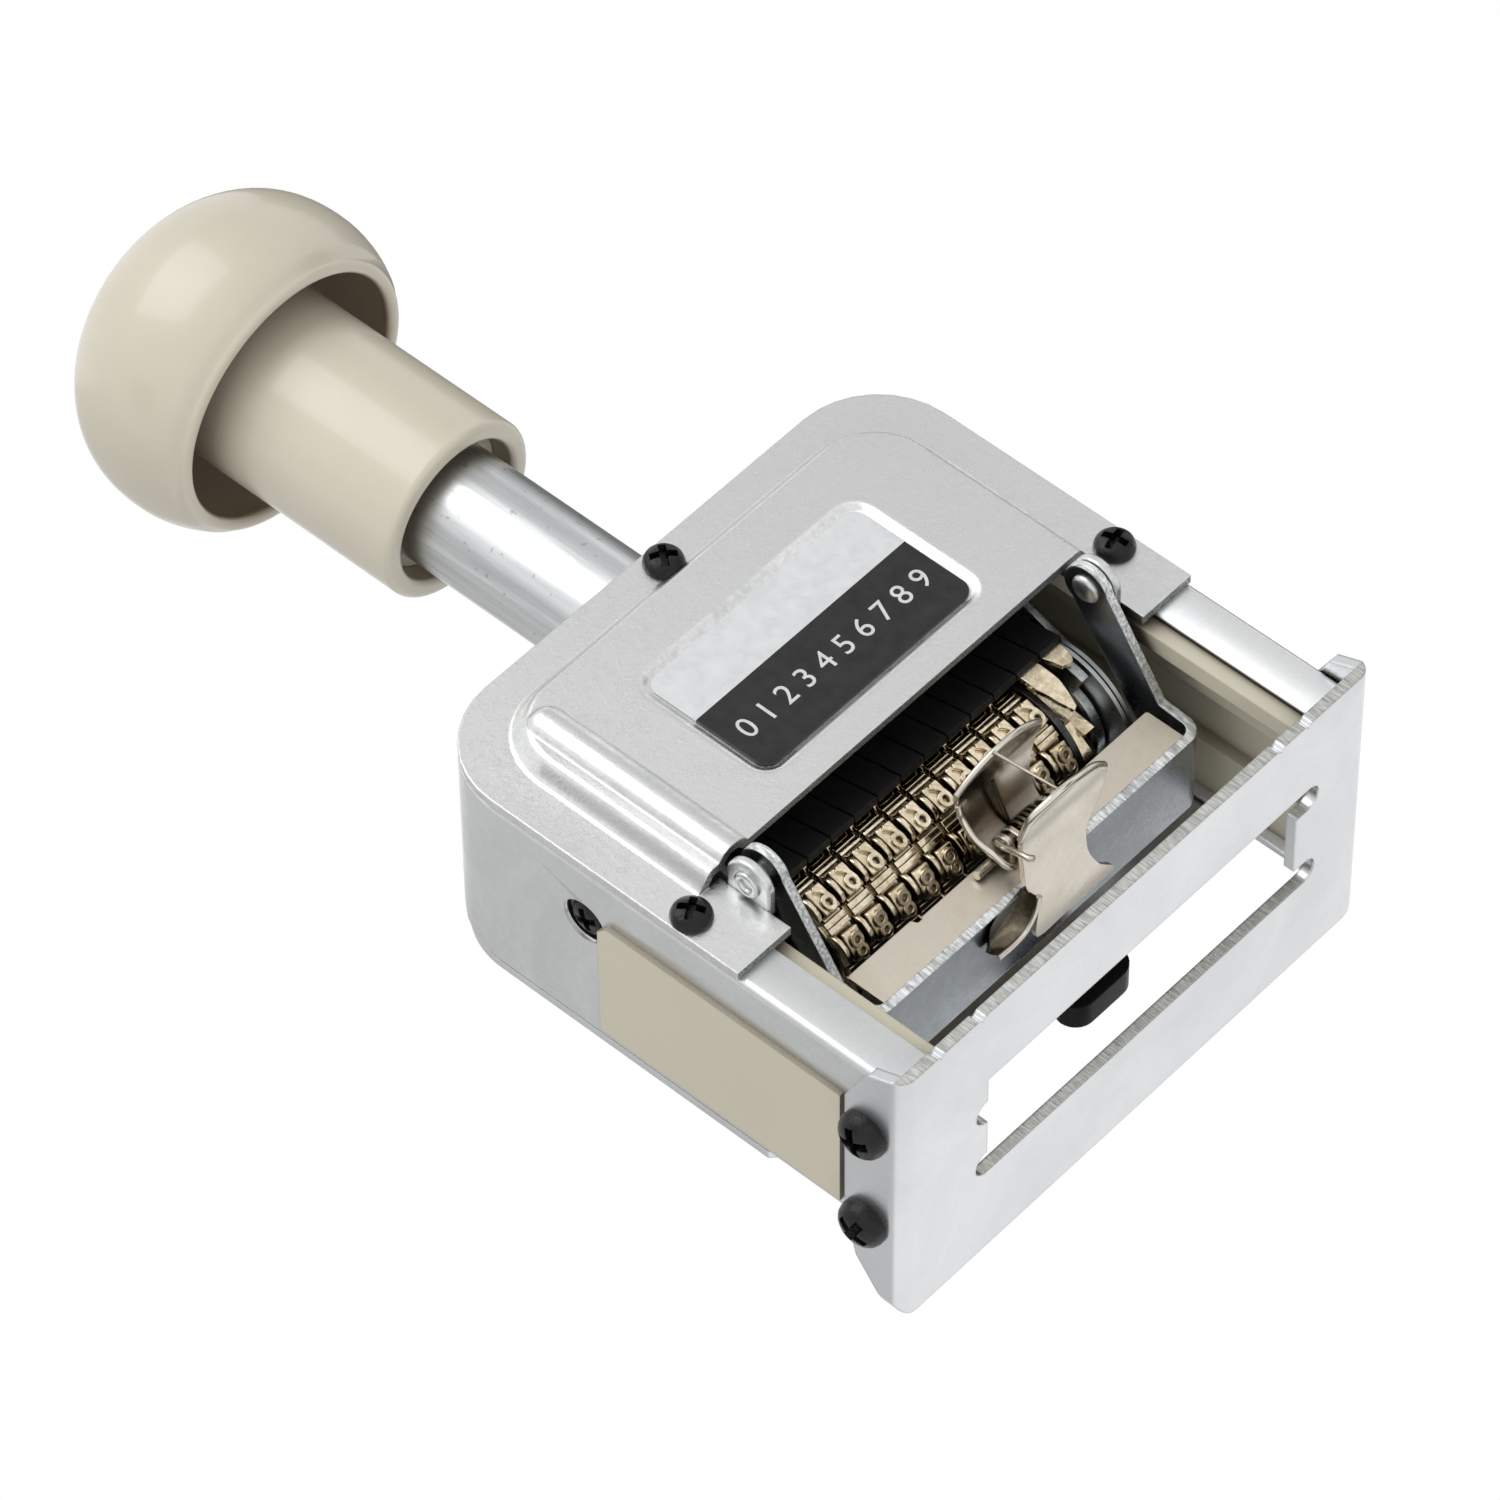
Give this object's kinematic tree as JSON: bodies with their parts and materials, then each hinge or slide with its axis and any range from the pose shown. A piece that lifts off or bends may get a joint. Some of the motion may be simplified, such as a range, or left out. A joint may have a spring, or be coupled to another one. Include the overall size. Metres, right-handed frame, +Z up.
{
  "type": "numbering machine",
  "caption": "Hand numbering stamp: a mushroom knob drives number wheels down through a slotted foot while an inked pad on a bail swings clear.",
  "frame": {"origin": "underside of the foot plate, at the middle of the outline seen from above", "axes": "+X to the right seen from the open front, +Y from the front to the back, +Z up along the handle"},
  "size_m": [0.085, 0.0458, 0.1564],
  "materials": {
    "zinc": "bright zinc plate with a faint mottle",
    "nickel": "bright nickel plate",
    "beige_plastic": "gloss moulded plastic",
    "cream_plastic": "gloss moulded plastic",
    "black_plastic": "gloss",
    "black_screw": "black oxide",
    "black_leaf": "satin black",
    "dark_steel": "dark steel",
    "label": "printed plate",
    "ink_pad": "felt"
  },
  "bodies": {
    "frame": {"foot_plate": "zinc", "casing": "zinc", "rear_cover": "zinc", "front_cover": "zinc", "label_plate": "label", "guide_tube": "zinc", "slide_guide_left": "beige_plastic", "slide_guide_right": "beige_plastic", "bail_pin_left": "zinc", "bail_pin_right": "zinc", "foot_screw_1": "black_screw", "foot_screw_2": "black_screw", "foot_screw_3": "black_screw", "foot_screw_4": "black_screw", "cover_screw_1": "black_screw", "cover_screw_2": "black_screw", "cover_screw_3": "black_screw", "wall_screw_1": "black_screw", "wall_screw_2": "black_screw", "selector_pin": "zinc", "return_spring": "dark_steel"},
    "carriage": {"knob": "beige_plastic", "sleeve": "beige_plastic", "sleeve_bush": "cream_plastic", "plunger_rod": "zinc", "carriage_plates": "zinc", "wheel_shaft": "zinc", "pawl_leaves": "black_leaf", "pawl_shaft": "zinc", "end_ring": "dark_steel", "repeat_cam": "nickel", "cam_sector": "zinc"},
    "feed": {"feed_frame": "zinc", "feed_pawl": "dark_steel"},
    "bail": {"ink_bail": "zinc", "pad_holder": "nickel", "ink_pad": "ink_pad", "clip_pin": "nickel", "clip_spring": "nickel"},
    "clip": {"clip_lever": "nickel"},
    "selector": {"selector_lever": "zinc", "selector_knob": "black_plastic"},
    "number_wheel_1": {"number_wheel_1": "nickel"},
    "number_wheel_2": {"number_wheel_2": "nickel"},
    "number_wheel_3": {"number_wheel_3": "nickel"},
    "number_wheel_4": {"number_wheel_4": "nickel"},
    "number_wheel_5": {"number_wheel_5": "nickel"},
    "number_wheel_6": {"number_wheel_6": "nickel"},
    "number_wheel_7": {"number_wheel_7": "nickel"},
    "number_wheel_8": {"number_wheel_8": "nickel"},
    "number_wheel_9": {"number_wheel_9": "nickel"},
    "number_wheel_10": {"number_wheel_10": "nickel"}
  },
  "joints": [
    {"name": "handle_slide", "type": "slide", "parent": "frame", "child": "carriage", "axis": [0, 0, -1], "range_m": [0, 0.021], "stiffness_N_per_m": 400, "springref_m": -0.02, "deforming": ["return_spring"]},
    {"name": "bail_swing", "type": "hinge", "parent": "frame", "child": "bail", "pos_m": [0.001, -0.01975, 0.0318], "axis": [-1, 0, 0], "range_deg": [0, 95]},
    {"name": "feed_turn", "type": "hinge", "parent": "carriage", "child": "feed", "pos_m": [0.001, -0.00155, 0.032], "axis": [-1, 0, 0], "range_deg": [0, 36]},
    {"name": "clip_squeeze", "type": "hinge", "parent": "bail", "child": "clip", "pos_m": [0.0037, -0.00995, 0.0194], "axis": [-1, 0, 0], "range_deg": [0, 18], "stiffness_Nm_per_rad": 0.02, "springref_deg": -22.92},
    {"name": "selector_swing", "type": "hinge", "parent": "frame", "child": "selector", "pos_m": [0.0049, 0.0125, 0.042], "axis": [0, 1, 0], "range_deg": [-12, 12]},
    {"name": "wheel_1_turn", "type": "hinge", "parent": "carriage", "child": "number_wheel_1", "pos_m": [-0.02102, -0.00155, 0.032], "axis": [1, 0, 0], "continuous": true},
    {"name": "wheel_2_turn", "type": "hinge", "parent": "carriage", "child": "number_wheel_2", "pos_m": [-0.01707, -0.00155, 0.032], "axis": [1, 0, 0], "continuous": true},
    {"name": "wheel_3_turn", "type": "hinge", "parent": "carriage", "child": "number_wheel_3", "pos_m": [-0.01312, -0.00155, 0.032], "axis": [1, 0, 0], "continuous": true},
    {"name": "wheel_4_turn", "type": "hinge", "parent": "carriage", "child": "number_wheel_4", "pos_m": [-0.00918, -0.00155, 0.032], "axis": [1, 0, 0], "continuous": true},
    {"name": "wheel_5_turn", "type": "hinge", "parent": "carriage", "child": "number_wheel_5", "pos_m": [-0.00522, -0.00155, 0.032], "axis": [1, 0, 0], "continuous": true},
    {"name": "wheel_6_turn", "type": "hinge", "parent": "carriage", "child": "number_wheel_6", "pos_m": [-0.00128, -0.00155, 0.032], "axis": [1, 0, 0], "continuous": true},
    {"name": "wheel_7_turn", "type": "hinge", "parent": "carriage", "child": "number_wheel_7", "pos_m": [0.00267, -0.00155, 0.032], "axis": [1, 0, 0], "continuous": true},
    {"name": "wheel_8_turn", "type": "hinge", "parent": "carriage", "child": "number_wheel_8", "pos_m": [0.00662, -0.00155, 0.032], "axis": [1, 0, 0], "continuous": true},
    {"name": "wheel_9_turn", "type": "hinge", "parent": "carriage", "child": "number_wheel_9", "pos_m": [0.01057, -0.00155, 0.032], "axis": [1, 0, 0], "continuous": true},
    {"name": "wheel_10_turn", "type": "hinge", "parent": "carriage", "child": "number_wheel_10", "pos_m": [0.01452, -0.00155, 0.032], "axis": [1, 0, 0], "continuous": true}
  ],
  "couplings": [
    {"joint": "bail_swing", "follows": "handle_slide", "rad_per_m": 78.9},
    {"joint": "feed_turn", "follows": "handle_slide", "rad_per_m": 29.9}
  ]
}
